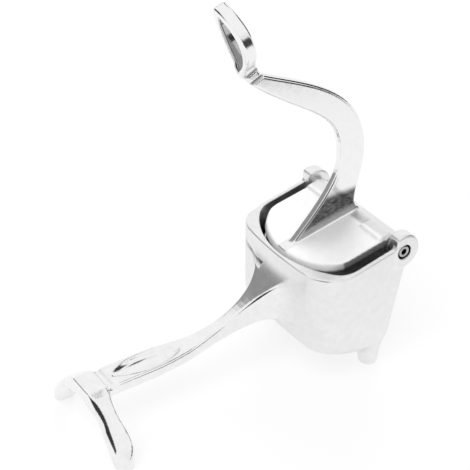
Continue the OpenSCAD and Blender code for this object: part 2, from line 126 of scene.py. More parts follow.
def outline_field(points):
    """Signed distance to a closed outline, as a function of two coordinates that broadcast together."""
    a = np.array(points, float)
    b = np.roll(a, -1, axis=0)

    def distance(u, v):
        u, v = np.broadcast_arrays(u, v)
        best = np.full(u.shape, np.inf)
        inside = np.zeros(u.shape, bool)
        for (ax, ay), (bx, by) in zip(a, b):
            ex, ey = bx - ax, by - ay
            if ex == 0 and ey == 0:
                continue
            px, py = u - ax, v - ay
            t = np.clip((px * ex + py * ey) / (ex * ex + ey * ey), 0, 1)
            best = np.minimum(best, (px - t * ex) ** 2 + (py - t * ey) ** 2)
            if ey != 0:
                inside ^= ((ay > v) != (by > v)) & (px < ex * py / ey)
        return np.where(inside, -1.0, 1.0) * np.sqrt(best)
    return distance


# Zones: a change that starts or ends at a place and fades over a run

def rise(t, start, run):
    """0 up to the start and 1 past the run."""
    s = np.clip((t - start) / run, 0, 1)
    return s * s * (3 - 2 * s)


def fall(t, end, run):
    """1 up to a run before the end and 0 past the end."""
    return rise(-t, -end, run)


# Cup
BACK_LEAN = 12.7
BACK_X = 9.7
BACK_ROUND = 10.0
TROUGH_X = -10.0
TROUGH_R = 70.0
TROUGH_ROUND = 18.0
SIDE_BLEND = 0.1
FRONT_BLEND = 4.9
FRONT_ZONE = (32, 10)
MOUTH_EDGE = 0.9

# Rim, which falls towards the front and levels out there
RIM_FALL = 11.8
RIM_HEIGHT = 4.2
RIM_EDGE = 1.4
LEVEL_REACH = 38
LEVEL_SLOPE = 0.21
LEVEL_BEND = 2


def back_plane(x, z):
    c = math.cos(math.radians(BACK_LEAN))
    s = math.sin(math.radians(BACK_LEAN))
    return x * c - z * s - BACK_X


def cup_block(x, y, z, plan, inset=0.0):
    """Trough with a round bottom, cut to a plan outline in front and by the leaning back."""
    bottom = np.hypot(x - TROUGH_X, z) - TROUGH_R + inset
    trough = rounded(bottom, np.abs(y) - plan[1] / 2, TROUGH_ROUND)
    blend = SIDE_BLEND + FRONT_BLEND * rise(-x, *FRONT_ZONE)
    return rounded(smax(trough, d_plan(x, y, plan), blend), back_plane(x, z) + inset, BACK_ROUND)


def rim_frame(x, z):
    """Coordinates along the falling rim and above it."""
    along, up = turned(x, z, RIM_FALL)
    return along, up - RIM_HEIGHT * math.cos(math.radians(RIM_FALL))


def above_rim(x, z):
    """Height above the rim as it levels out in front."""
    past = np.maximum(-x - LEVEL_REACH, 0)
    return rim_frame(x, z)[1] - LEVEL_SLOPE * past * past / (past + LEVEL_BEND)


# Rear legs
LEG_X = -12.3
LEG_SIDE = 33.5
LEG_R = 5.6
LEG_FLARE = 3.4
LEG_FLARE_FROM = 2
LEG_TOP = 28
LEG_SLOPE_COS = 0.993
LEG_TOE_EDGE = 2.4
LEG_TOP_EDGE = 4.0


def back_legs(x, y, z):
    h = z - GROUND
    flare = LEG_FLARE * (h - LEG_FLARE_FROM) / LEG_TOP
    cone = (np.hypot(x - LEG_X, np.abs(y) - LEG_SIDE) - LEG_R - flare) * LEG_SLOPE_COS
    return smax(smax(cone, -h, LEG_TOE_EDGE), h - LEG_TOP, LEG_TOP_EDGE)


# Handle arm, which flares into the cup and ends inside the foot
ARM_TOP = bezier([(-53.9, -8.5), (-63.9, -26.5), (-92, -41.5), (-117, -43.5)])
ARM_LOW = bezier([(-117, -51), (-95, -50.5), (-71.9, -42.5), (-53.9, -41.5)])
ARM_ENDS = (-176, -50)
ARM_WAIST = 3.8
ARM_FLARE = 16.2
ARM_FLARE_RUN = 8
ARM_FLARE_CAP = 0.22
PAD_SWELL = 5.4
PAD_ZONE = (90, 50)
PAD_Z = -43.5
SINK = 4.5
SINK_ZONE = (162, 13)
ARM_TOP_EDGE = 2.2
ARM_LOW_EDGE = 3.0

# Dish of the thumb pad, a spindle-shaped hollow with a flat floor
DISH_X = -140
DISH_LIFT = 2.4
DISH_R = 7.7
DISH_ARC_R = 52.0
DISH_FLOOR_Z = -47.8
DISH_FLOOR_EDGE = 2.0


def arm_half(x):
    """Half width of the arm at x, and the slope of its flare into the cup."""
    flare = ARM_FLARE * np.exp(np.minimum((CUP_PLAN[0] + x) / ARM_FLARE_RUN, ARM_FLARE_CAP))
    return ARM_WAIST + flare + PAD_SWELL * rise(-x, *PAD_ZONE), flare / ARM_FLARE_RUN


def along_curve(x, curve):
    """Height of a curve at x, and the cosine of its slope."""
    order = np.argsort(curve[:, 0])
    cx, cz = curve[order, 0], curve[order, 1]
    slope = np.gradient(cz, cx)
    return np.interp(x, cx, cz), 1 / np.hypot(1, np.interp(x, cx, slope))


def arm(x, y, z):
    top, top_cos = along_curve(x, ARM_TOP)
    low, low_cos = along_curve(x, ARM_LOW)
    half, slope = arm_half(x)
    side = (np.abs(y) - half) / np.hypot(1, slope)
    sink = SINK * rise(-x, *SINK_ZONE)
    upper = smax((z - top + sink) * top_cos, side, ARM_TOP_EDGE)
    whole = smax(upper, (low - z) * low_cos, ARM_LOW_EDGE)
    return smax(whole, slab(x, *ARM_ENDS), SOFT_EDGE)


def dish(x, y, z):
    from_line = np.hypot(y, z - PAD_Z - DISH_LIFT)
    hollow = np.hypot(from_line - DISH_R + DISH_ARC_R, x - DISH_X) - DISH_ARC_R
    return smax(hollow, DISH_FLOOR_Z - z, DISH_FLOOR_EDGE)


# Front foot, with two legs that splay to round toes
FOOT_X = -175.2
TOE_R = 6.3
TOE_SIDE = 32
KNEE_SIDE = 19.8
KNEE_HALF = 4.4
ROOT_SIDE = 6.4
ROOT_HALF = 6
SHIN_SWELL = 1.4
SHIN_ZONE = (8, 8)
SHIN_END_ZONE = (36, 6)
SHIN_FACE_ZONE = (-1, 3)
SHIN_EDGE = 4.6
PLAN_STEPS = 65


def foot_outline():
    """Outline of the foot from the front, above the ground."""
    outside = bezier([(8, 34.9), (20, 29), (36.5, 13), (38.3, 3)])
    under = bezier([(32.5, 0), (27, 10), (14, 23), (4, 26.5)])
    right = np.vstack([outside, [(37.6, 0.8), (36.5, 0)], under])
    return np.vstack([right, right[::-1] * (-1, 1)])


def foot_half(side):
    """Half depth of the foot at a distance from its middle."""
    end = np.sqrt(np.maximum(TOE_R ** 2 - (side - TOE_SIDE) ** 2, 0))
    leg = KNEE_HALF + (TOE_R - KNEE_HALF) * rise(side, KNEE_SIDE, TOE_SIDE - KNEE_SIDE)
    root = ROOT_HALF - (ROOT_HALF - KNEE_HALF) * rise(side, ROOT_SIDE, KNEE_SIDE - ROOT_SIDE)
    return np.where(side > TOE_SIDE, end, np.where(side > KNEE_SIDE, leg, root))


def foot_plan_outline():
    """Outline of the foot from above, with shins that swell in front."""
    ys = (TOE_SIDE + TOE_R) * np.sin(np.radians(np.linspace(-90, 90, PLAN_STEPS)))
    side = np.abs(ys)
    half = foot_half(side)
    swell = SHIN_SWELL * rise(side, *SHIN_ZONE) * fall(side, *SHIN_END_ZONE)
    front = np.minimum(half + swell, TOE_R)
    return np.vstack([np.column_stack([-front, ys]), np.column_stack([half, ys])[::-1]])


foot_front = outline_field(foot_outline())
foot_plan = outline_field(foot_plan_outline())


def foot(x, y, z):
    shin = rise(np.abs(y), *SHIN_ZONE) * rise(FOOT_X - x, *SHIN_FACE_ZONE)
    return smax(foot_front(y, z - GROUND), foot_plan(x - FOOT_X, y), SOFT_EDGE + SHIN_EDGE * shin)


# Hinge ears, and the gap between them for the lever's barrel
EAR_R = 10.4
EAR_FRONT_X = -5
EAR_FACES = (37, 44.8)
EAR_PROFILE_EDGE = 1.2
EAR_FACE_EDGE = 1.4
GAP_X = -10.5
GAP_Z = -8
BORE_R = 4.4
BORE_FLOOR = 40.5
BORE_EDGE = 0.5
EAR_HOLE_R = 3.55

# Shelf bars for the strainer, and the pour slit, in the rim's coordinates
SHELF_ALONG = (-27, -9)
SHELF_UP = (-18, -14)
SHELF_SIDE = (39.4, 43)
SLIT_ALONG = -28
SLIT_UP = (-9.2, -7)
SLIT_SIDE = (8, 33)

# Fillets where the body's parts join
LEG_FILLET = 3.0
ARM_FILLET = 3.2
FOOT_FILLET = 4.0
EAR_FILLET = 2.0


def ears(x, y, z):
    profile = smax(np.hypot(x, z) - EAR_R, EAR_FRONT_X - x, EAR_PROFILE_EDGE)
    return smax(profile, slab(np.abs(y), *EAR_FACES), EAR_FACE_EDGE)


def shelves(x, y, z):
    along, up = rim_frame(x, z)
    return bar(slab(along, *SHELF_ALONG), slab(up, *SHELF_UP), slab(np.abs(y), *SHELF_SIDE), CAST_EDGE)


def pour_slit(x, y, z):
    along, up = rim_frame(x, z)
    return np.maximum(np.maximum(slab(y, *SLIT_SIDE), slab(up, *SLIT_UP)), along - SLIT_ALONG)


def body_field(x, y, z):
    side = np.abs(y)
    axis = np.hypot(x, z)
    hinge_gap = np.maximum(np.maximum(GAP_X - x, side - EAR_FACES[0]), GAP_Z - z)
    cup = smax(cup_block(x, y, z, CUP_PLAN), above_rim(x, z), RIM_EDGE)
    cup = smax(cup, np.minimum(x, z), SOFT_EDGE)
    cup = smax(cup, -hinge_gap, CAST_EDGE)
    whole = smin(smin(cup, back_legs(x, y, z), LEG_FILLET), arm(x, y, z), ARM_FILLET)
    whole = smax(whole, -cup_block(x, y, z, MOUTH_PLAN, WALL), MOUTH_EDGE)
    whole = smax(whole, -pour_slit(x, y, z), CUT_EDGE)
    whole = smin(smin(whole, shelves(x, y, z), CUT_EDGE), ears(x, y, z), EAR_FILLET)
    whole = smin(smax(whole, -dish(x, y, z), SOFT_EDGE), foot(x, y, z), FOOT_FILLET)
    whole = smax(whole, -np.maximum(axis - BORE_R, BORE_FLOOR - side), BORE_EDGE)
    return smax(whole, EAR_HOLE_R - axis, FINE_EDGE)


# Strainer, swept about the pivot axis
BASKET_WALL = 2.0
BASKET_GAP = 0.8
BASKET_ROUND = 5.0
BASKET_TOP = -12
BASKET_EDGE = 0.9
FLANGE_SIDE = (37.2, 41.0)
NOTCH_R = 11.5
NOTCH_SIDE = 34

# Drain slots, in rows at angles below the level
SLOT_ANGLES = (32, 50, 68)
SLOT_HALF_RUN = 5
SLOT_R = 1.5
SLOT_PITCH = 8
SLOTS_EACH_SIDE = 3
SLOT_FROM_R = 45


def drain_slots(x, y, z):
    angle = np.degrees(np.arctan2(-z, -x))
    from_row = np.minimum.reduce([np.abs(angle - row) for row in SLOT_ANGLES])
    run = np.maximum(np.radians(from_row) * BASKET_PLAN[0] - SLOT_HALF_RUN, 0)
    across = y - SLOT_PITCH * np.clip(np.round(y / SLOT_PITCH), -SLOTS_EACH_SIDE, SLOTS_EACH_SIDE)
    return np.maximum(np.hypot(run, across) - SLOT_R, SLOT_FROM_R - np.hypot(x, z))


def strainer_field(x, y, z):
    side = np.abs(y)
    r = np.hypot(x, z)
    along, up = rim_frame(x, z)
    back = back_plane(x, z) + WALL + BASKET_GAP
    outer = rounded(d_plan(-r, y, BASKET_PLAN, -BASKET_WALL), back, BASKET_ROUND + BASKET_WALL)
    hollow = rounded(d_plan(-r, y, BASKET_PLAN), back + BASKET_WALL, BASKET_ROUND)
    basket = smax(smax(outer, -hollow, FINE_EDGE), up - BASKET_TOP, BASKET_EDGE)
    on_shelf = slab(up, SHELF_UP[1], BASKET_TOP)
    flange = bar(slab(along, *SHELF_ALONG), on_shelf, slab(side, *FLANGE_SIDE), BASKET_EDGE)
    whole = smin(basket, flange, CUT_EDGE)
    whole = smax(whole, -np.maximum(r - NOTCH_R, NOTCH_SIDE - side), CUT_EDGE)
    return smax(whole, -drain_slots(x, y, z), CUT_EDGE)


# Press plate, with ribs below, two bosses above and the hinge barrel behind
PLATE_FALL = 10.5
PLATE_UP = (0, 6)
PLATE_EDGE = 1.2
BEVEL_SLOPE = 0.36
BEVEL_UP = 2.4
BEVEL_ZONE = (34, 8)
RIB_PITCH = 10.8
RIBS_EACH_SIDE = 2
RIB_HALF = 1.5
RIB_ALONG = (-38.4, -12.5)
RIB_UP = (-2, 1)
BOSS_ALONG = (-8.3, -0.3)
BOSS_SIDE = (15.8, 33.8)
BOSS_UP = (4, 7.5)
BOSS_CORNER = 1.6
BOSS_FILLET = 1.2
BARREL_R = 6.25
BARREL_HALF = 34.8
BARREL_FILLET = 2.0
LEVER_HOLE_R = 3.56

# Web and bent arm of the lever, up to the neck below the loop
WEB_HALF = 2.75
WEB_EDGE = 1.9
WEB_FILLET = 1.8
WEB_TOE = 46.9
WEB_TOE_UP = 5
WEB_FRONT = -14.1
WEB_BACK = 2.4
BEND_Z = 43
NECK = np.array([-70.7, 108.6])
NECK_TURN = 26
NECK_HALF = 4.15
GROOVE_R = 1.15
GROOVE_PLACES = ((3.1, 0), (3.6, 6))
GROOVE_EDGE = 0.5

# Loop: a bowed band cut to a leaf, with leaves given as start, length and width
LOOP_X = -75
LOOP_TURN = 6
CHORD_TURN = 19.63
LOOP_BOW_R = 100.2
LOOP_HALF = 3.8
LOOP_LEAF = (4, 45, 21)
HOLE_LEAF = (8, 34, 13)
LOOP_EDGE = 2.0
HOLE_EDGE = 1.4
LOOP_FILLET = 3.0


def lever_outline():
    """Outline of the web and the arm from the side."""
    fall_cos = math.cos(math.radians(PLATE_FALL))
    fall_sin = math.sin(math.radians(PLATE_FALL))
    toe = np.array([-WEB_TOE, WEB_TOE_UP * fall_cos - WEB_TOE * fall_sin])
    half = NECK_HALF * np.array([math.cos(math.radians(NECK_TURN)), math.sin(math.radians(NECK_TURN))])
    neck_front = NECK - half
    neck_back = NECK + half
    front = bezier([toe, toe + (17, 16.5), (WEB_FRONT, 29), (WEB_FRONT, BEND_Z)])
    front_arm = bezier([(WEB_FRONT, BEND_Z), (WEB_FRONT, 76), neck_front + (36, -30.5), neck_front])
    brow_front = [neck_front + (-5.2, 6.7), neck_front + (-6, 10)]
    brow_back = [neck_back + (-5, 8.1), neck_back + (-2.5, 3.7)]
    back_arm = bezier([neck_back, neck_back + (32, -15), (WEB_BACK, 84), (WEB_BACK, BEND_Z)])
    back = bezier([(WEB_BACK, BEND_Z), (WEB_BACK, 31), (-3, 22.25), (-2.8, 12.25)])
    heel = [(-1.5, 9.45), (1, 5.95), (0, 0), (-BARREL_R, 0)]
    return np.vstack([front, front_arm, brow_front, brow_back, back_arm, back, heel])


lever_side = outline_field(lever_outline())


def press_plate(x, y, z):
    along, up = turned(x, z, PLATE_FALL)
    side = np.abs(y)
    bevel = BEVEL_SLOPE * np.maximum(up - BEVEL_UP, 0) * rise(-along, *BEVEL_ZONE)
    plate = smax(d_plan(along, y, PLATE_PLAN) + bevel, slab(up, *PLATE_UP), PLATE_EDGE)
    plate = smax(plate, along, SOFT_EDGE)
    for row in range(-RIBS_EACH_SIDE, RIBS_EACH_SIDE + 1):
        across = slab(y, row * RIB_PITCH - RIB_HALF, row * RIB_PITCH + RIB_HALF)
        plate = smin(plate, bar(slab(along, *RIB_ALONG), across, slab(up, *RIB_UP), SOFT_EDGE), SOFT_EDGE)
    boss = smax(slab(along, *BOSS_ALONG), slab(side, *BOSS_SIDE), BOSS_CORNER)
    boss = smax(boss, slab(up, *BOSS_UP), SOFT_EDGE)
    barrel = smax(np.hypot(x, z) - BARREL_R, side - BARREL_HALF, CAST_EDGE)
    return smin(smin(plate, boss, BOSS_FILLET), barrel, BARREL_FILLET)


def loop_hole(x, y, z):
    return leaf(y, turned(x - LOOP_X, z - NECK[1], CHORD_TURN)[1], *HOLE_LEAF)


def loop(x, y, z):
    along, up = turned(x - LOOP_X, z - NECK[1], LOOP_TURN)
    chord = turned(x - LOOP_X, z - NECK[1], CHORD_TURN)[1]
    band = np.abs(np.hypot(along + LOOP_BOW_R, up) - LOOP_BOW_R) - LOOP_HALF
    return smax(band, leaf(y, chord, *LOOP_LEAF), LOOP_EDGE)


def neck_grooves(x, y, z):
    up = turned(x - NECK[0], z - NECK[1], NECK_TURN)[1]
    grooves = [np.hypot(np.abs(y) - side, up - height) - GROOVE_R for side, height in GROOVE_PLACES]
    return np.minimum.reduce(grooves)


def lever_field(x, y, z):
    web = smax(lever_side(x, z), np.abs(y) - WEB_HALF, WEB_EDGE)
    whole = smin(smin(press_plate(x, y, z), web, WEB_FILLET), loop(x, y, z), LOOP_FILLET)
    whole = smax(whole, -loop_hole(x, y, z), HOLE_EDGE)
    whole = smax(whole, -neck_grooves(x, y, z), GROOVE_EDGE)
    return smax(whole, LEVER_HOLE_R - np.hypot(x, z), FINE_EDGE)


# Socket screw of the near ear, along +Y
HEAD_R = 3.5
HEAD_ENDS = (-44.5, -40.5)
HEAD_EDGE = 0.7
SHANK_R = 2
SHANK_ENDS = (-41, -30.5)
THREAD_PITCH = 0.7
THREAD_DEPTH = 0.12
SOCKET_HALF = 1.5
SOCKET_ENDS = (-45, -42.3)
SOCKET_CONE = 0.3
SOCKET_EDGE = 0.2
LEAD_R = 1.75
LEAD_START = -44.2
LEAD_END = -44.0


def screw_field(x, y, z):
    r = np.hypot(x, z)
    head = smax(r - HEAD_R, slab(y, *HEAD_ENDS), HEAD_EDGE)
    thread = THREAD_DEPTH * np.cos(y * 2 * math.pi / THREAD_PITCH)
    shank = smax(r - SHANK_R + thread, slab(y, *SHANK_ENDS), CAST_EDGE)
    hexagon = np.maximum(np.abs(z), np.abs(x) * math.sqrt(0.75) + np.abs(z) / 2) - SOCKET_HALF
    floor = y - SOCKET_ENDS[1] - SOCKET_CONE * r
    socket = np.maximum(hexagon, np.maximum(floor, SOCKET_ENDS[0] - y))
    lead_in = np.maximum(r - LEAD_R - (LEAD_START - y), y - LEAD_END)
    whole = smax(smin(head, shank, FINE_EDGE), -socket, SOCKET_EDGE)
    return smax(whole, -lead_in, SOCKET_EDGE)


# Meshes from fields
CORNERS = [(i, j, k) for i in (0, 1) for j in (0, 1) for k in (0, 1)]
EDGES = [
    (a, b) for a in CORNERS for b in CORNERS
    if sum(b) == sum(a) + 1 and all(p <= q for p, q in zip(a, b))
]
CHUNK = 60000
PROBE = 0.02
DRAW_ROUNDS = 3
FLATTEST = 0.2
TINY = 1e-9


def at_points(field, points):
    parts = [field(*points[i:i + CHUNK].T) for i in range(0, len(points), CHUNK)]
    return np.concatenate(parts)


def gradient(field, points):
    slope = np.empty_like(points)
    for axis in range(3):
        shift = np.zeros(3)
        shift[axis] = PROBE
        slope[:, axis] = (at_points(field, points + shift) - at_points(field, points - shift)) / (2 * PROBE)
    return slope


def crossing_points(value, cell):
    """Mean place where the edges of each cell cross the zero surface, in grid steps."""
    offset = np.zeros((len(cell), 3))
    hits = np.zeros((len(cell), 1))
    for a, b in EDGES:
        va = value[tuple((cell + a).T)]
        vb = value[tuple((cell + b).T)]
        cross = ((va < 0) != (vb < 0))[:, None]
        t = (va / np.where(va == vb, 1, va - vb))[:, None]
        offset += np.where(cross, np.array(a) + t * (np.array(b) - np.array(a)), 0)
        hits += cross
    return cell + offset / hits


def drawn_onto(field, points, step):
    """Points moved along the gradient onto the zero surface."""
    for _ in range(DRAW_ROUNDS):
        g = gradient(field, points)
        steepness = np.maximum((g * g).sum(1, keepdims=True), FLATTEST)
        move = at_points(field, points)[:, None] * g / steepness
        points = points - np.clip(move, -step / 2, step / 2)
    return points


def net_quads(inside, index):
    """Quads round every grid edge that crosses the surface, wound to face outwards."""
    quads = []
    for axis in range(3):
        order = (axis, (axis + 1) % 3, (axis + 2) % 3)
        first = np.moveaxis(inside, order, (0, 1, 2))
        ring = np.moveaxis(index, order, (0, 1, 2))
        start = first[:-1, 1:-1, 1:-1]
        i, j, k = np.nonzero(start != first[1:, 1:-1, 1:-1])
        around = [ring[i, j, k], ring[i, j + 1, k], ring[i, j + 1, k + 1], ring[i, j, k + 1]]
        quad = np.stack(around, axis=1)
        outward = start[i, j, k]
        quad[~outward] = quad[~outward][:, ::-1]
        quads.append(quad)
    return np.vstack(quads)


def surface(field, low, high, step):
    """Vertices, normals and quads of a field's zero surface in a box, as a surface net drawn onto it."""
    low = np.array(low, float)
    axes = [np.arange(low[i], high[i] + step, step) for i in range(3)]
    value = field(*np.meshgrid(*axes, indexing="ij", sparse=True))
    inside = value < 0
    cells = tuple(n - 1 for n in inside.shape)
    count = np.zeros(cells, np.int8)
    for i, j, k in CORNERS:
        count += inside[i:i + cells[0], j:j + cells[1], k:k + cells[2]]
    active = (count > 0) & (count < len(CORNERS))
    index = np.full(cells, -1, np.int64)
    index[active] = np.arange(active.sum())
    points = drawn_onto(field, low + crossing_points(value, np.argwhere(active)) * step, step)
    normals = gradient(field, points)
    normals /= np.maximum(np.linalg.norm(normals, axis=1, keepdims=True), TINY)
    return points, normals, net_quads(inside, index)


def add_piece(name, points, normals, quads, material):
    mesh = bpy.data.meshes.new(name)
    mesh.from_pydata(((points + PIVOT) / MM_PER_M).tolist(), [], quads.tolist())
    mesh.polygons.foreach_set("use_smooth", np.ones(len(mesh.polygons), bool))
    mesh.normals_split_custom_set_from_vertices(normals.tolist())
    mesh.materials.append(material)
    piece = bpy.data.objects.new(name, mesh)
    scene.collection.objects.link(piece)
    return piece


def add_values(piece, name, values):
    layer = piece.data.attributes.new(name, "FLOAT", "POINT")
    layer.data.foreach_set("value", np.asarray(values, np.float32))


# Materials

class Nodes:
    """Node tree of a material or a world, with short calls to add and join nodes."""

    def __init__(self, owner):
        owner.use_nodes = True
        self.tree = owner.node_tree

    def add(self, kind, inputs=None, **settings):
        node = self.tree.nodes.new("ShaderNode" + kind)
        for key, value in settings.items():
            setattr(node, key, value)
        for key, value in (inputs or {}).items():
            self.put(node, key, value)
        return node

    def put(self, node, key, value):
        if isinstance(value, bpy.types.NodeSocket):
            self.tree.links.new(value, node.inputs[key])
        else:
            node.inputs[key].default_value = value

    def place(self, scale=None):
        """Place on the piece, stretched by a scale along each axis if there is one."""
        vector = self.add("TexCoord").outputs["Object"]
        if scale is None:
            return vector
        return self.add("Mapping", {"Vector": vector, "Scale": scale}).outputs["Vector"]

    def noise(self, scale, detail, roughness, stretch=None):
        inputs = {"Scale": scale, "Detail": detail, "Roughness": roughness, "Vector": self.place(stretch)}
        return self.add("TexNoise", inputs).outputs["Fac"]

    def attribute(self, name):
        return self.add("Attribute", attribute_name=name).outputs["Fac"]

    def ramp(self, value, low, high, out_low=0.0, out_high=1.0):
        inputs = {"Value": value, "From Min": low, "From Max": high, "To Min": out_low, "To Max": out_high}
        return self.add("MapRange", inputs).outputs["Result"]

    def math(self, operation, a, b):
        return self.add("Math", {0: a, 1: b}, operation=operation).outputs[0]

    def mix(self, factor, a, b):
        return self.add("Mix", {0: factor, 6: a, 7: b}, data_type="RGBA").outputs[2]

    def bump(self, height, strength, distance, normal=None):
        inputs = {"Height": height, "Strength": strength, "Distance": distance}
        if normal is not None:
            inputs["Normal"] = normal
        return self.add("Bump", inputs).outputs["Normal"]

    def background_ray(self):
        """1 for the rays that show the white background, by sight or in a reflection."""
        path = self.add("LightPath").outputs
        seen = self.math("MAXIMUM", path["Is Camera Ray"], path["Is Glossy Ray"])
        return self.math("MAXIMUM", seen, path["Is Transmission Ray"])


# Noise of the skins: scale, detail and roughness
MOTTLE = (210, 6, 0.62)
GRAIN = (1500, 3, 0.6)
WAVES = (60, 2, 0.5)
STREAKS = (1.0, 6, 0.7)
RINGS = (1.0, 2, 0.5)
STAIN = (260, 4, 0.6)
PAPER = (300, 3, 0.5)

# Cast skin: shares of the noise that count, tones of the painted shade, and depths in metres
GRAIN_SHARE = 0.35
TONE_RANGE = (0.45, 0.9)
STREAK_RANGE = (0.36, 0.72)
STREAK_STRETCH = (420.0, 900.0, 1100.0)
PAINTED_SHADE_DARK = 0.03
PAINTED_SHADE_LIGHT = 0.24
BLASTED_METAL = 0.3
MIDDLE_RANGE = (0.3, 0.7)
MOTTLE_ROUGH = 0.04
GRAIN_SATIN = 0.16
GRAIN_BUFFED = 0.03
GRAIN_DEPTH = 0.0004
WAVES_SHARE = 0.06
WAVES_DEPTH = 0.0012

# Turned steel
STAIN_RANGE = (0.35, 0.7)
STAIN_TONE = 0.8
RINGS_SMOOTH = 0.06
RINGS_ROUGH = 0.08
RINGS_SHARE = 0.12
RINGS_DEPTH = 0.0002


def grey(v):
    return (v, v, v, 1.0)


def cast_metal(name, dark, light, satin, polished):
    """Cast aluminium, mottled satin where the attribute polish is 0.

    It is buffed where polish is 1, blasted white below 0, and is painted with dark streaked shade
    where the attribute of painted shade is 1.
    """
    material = bpy.data.materials.new(name)
    n = Nodes(material)
    polish = n.attribute("polish")
    mottle = n.noise(*MOTTLE)
    grain = n.noise(*GRAIN)
    tone = n.ramp(n.math("ADD", mottle, n.math("MULTIPLY", grain, GRAIN_SHARE)), *TONE_RANGE)
    streaks = n.ramp(n.noise(*STREAKS, STREAK_STRETCH), *STREAK_RANGE)
    # Painted shade: dark streaks that stand in for the shade in recesses, creases and gaps
    painted_shade_tone = n.mix(streaks, grey(PAINTED_SHADE_DARK), grey(PAINTED_SHADE_LIGHT))
    colour = n.mix(n.attribute("painted_shade"), n.mix(tone, grey(dark), grey(light)), painted_shade_tone)
    finish = n.ramp(polish, 0, 1, satin, polished)
    rough = n.math("ADD", finish, n.ramp(mottle, *MIDDLE_RANGE, -MOTTLE_ROUGH, MOTTLE_ROUGH))
    skin = n.bump(grain, n.ramp(polish, 0, 1, GRAIN_SATIN, GRAIN_BUFFED), GRAIN_DEPTH)
    shader = n.tree.nodes["Principled BSDF"]
    n.put(shader, "Base Color", colour)
    n.put(shader, "Metallic", n.ramp(polish, -1, 0, BLASTED_METAL, 1.0))
    n.put(shader, "Roughness", rough)
    n.put(shader, "Normal", n.bump(n.noise(*WAVES), WAVES_SHARE, WAVES_DEPTH, skin))
    return material


def turned_steel(name, colour, rough, stretch):
    """Steel with fine rings from turning, painted near black as shade where the attribute of painted shade
    is 1.
    """
    material = bpy.data.materials.new(name)
    n = Nodes(material)
    rings = n.noise(*RINGS, stretch)
    stain = n.ramp(n.noise(*STAIN), *STAIN_RANGE)
    steel = n.mix(stain, grey(colour * STAIN_TONE), grey(colour))
    shader = n.tree.nodes["Principled BSDF"]
    # Painted shade: near black where the attribute of painted shade is 1
    n.put(shader, "Base Color", n.mix(n.attribute("painted_shade"), steel, grey(PAINTED_SHADE_DARK)))
    n.put(shader, "Metallic", 1.0)
    n.put(shader, "Roughness", n.ramp(rings, *MIDDLE_RANGE, rough - RINGS_SMOOTH, rough + RINGS_ROUGH))
    n.put(shader, "Normal", n.bump(rings, RINGS_SHARE, RINGS_DEPTH))
    return material


body_metal = cast_metal("cast_aluminium", dark=0.83, light=0.92, satin=0.38, polished=0.14)
lever_metal = cast_metal("polished_aluminium", dark=0.86, light=0.92, satin=0.5, polished=0.13)
strainer_metal = cast_metal("strainer_aluminium", dark=0.6, light=0.76, satin=0.45, polished=0.3)
rod_steel = turned_steel("pivot_steel", colour=0.62, rough=0.28, stretch=(60.0, 2500.0, 60.0))
screw_steel = turned_steel("screw_steel", colour=0.55, rough=0.26, stretch=(900.0, 900.0, 900.0))

# Finish of the body: zones of the buffed handle and rim, and of the painted shade in the counterbores
HANDLE_ZONE = (58, 5)
RIM_POLISH = 0.2
RIM_ZONE = (-2.2, 1.2)
RIM_START_ZONE = (4, 6)
BORE_ZONE = (4.75, 0.3)
BORE_MOUTH_ZONE = (44.9, 0.3)

# Finish of the lever: zones of the buffed arm and web, and of the blasted plate
ARM_BUFF_ZONE = (9, 4)
WEB_SIDE_ZONE = (3.8, 0.8)
WEB_UP_ZONE = (5.2, 0.8)
LEAST_BUFF = 0.02
BLAST = 0.85
BLAST_START_ZONE = (1.5, 0.5)
BLAST_END_ZONE = (9, 1)
BLAST_REACH_ZONE = (6.5, 1)

# Painted shade on the lever: at the web's foot by the plate, in the loop's hole, in the neck's grooves and
# on the plate's sides
FOOT_DARK = 0.65
FOOT_TOP_ZONE = (24, 5)
FOOT_UP_ZONE = (6.4, 1.2)
FOOT_INNER_ZONE = (2.2, 0.4)
FOOT_OUTER_ZONE = (4.2, 0.4)
HOLE_DARK = 0.5
HOLE_ZONE = (1.0, 0.5)
HOLE_UP_ZONE = (100, 2)
GROOVE_DARK = 0.6
GROOVE_ZONE = (0.3, 0.3)
PLATE_SIDE_DARK = 0.8
PLATE_SIDE_ZONE = (33.6, 0.4)
PLATE_TOP_ZONE = (5.5, 0.6)
PLATE_FRONT_ZONE = (-40, 6)

# Finish of the strainer, and the zone of painted shade in the screw's socket
STRAINER_POLISH = 0.4
SOCKET_ZONE = (1.9, 0.2)
SOCKET_MOUTH_ZONE = (-44.45, 0.3)


def body_finish(x, y, z):
    """Polish of the body's skin, and painted shade in the counterbores."""
    rim = RIM_POLISH * rise(above_rim(x, z), *RIM_ZONE) * rise(-x, *RIM_START_ZONE)
    polish = np.maximum(rise(-x, *HANDLE_ZONE), rim)
    # Painted shade on the counterbores' walls and floors round the screw heads
    painted_shade = fall(np.hypot(x, z), *BORE_ZONE) * fall(np.abs(y), *BORE_MOUTH_ZONE)
    return polish, painted_shade


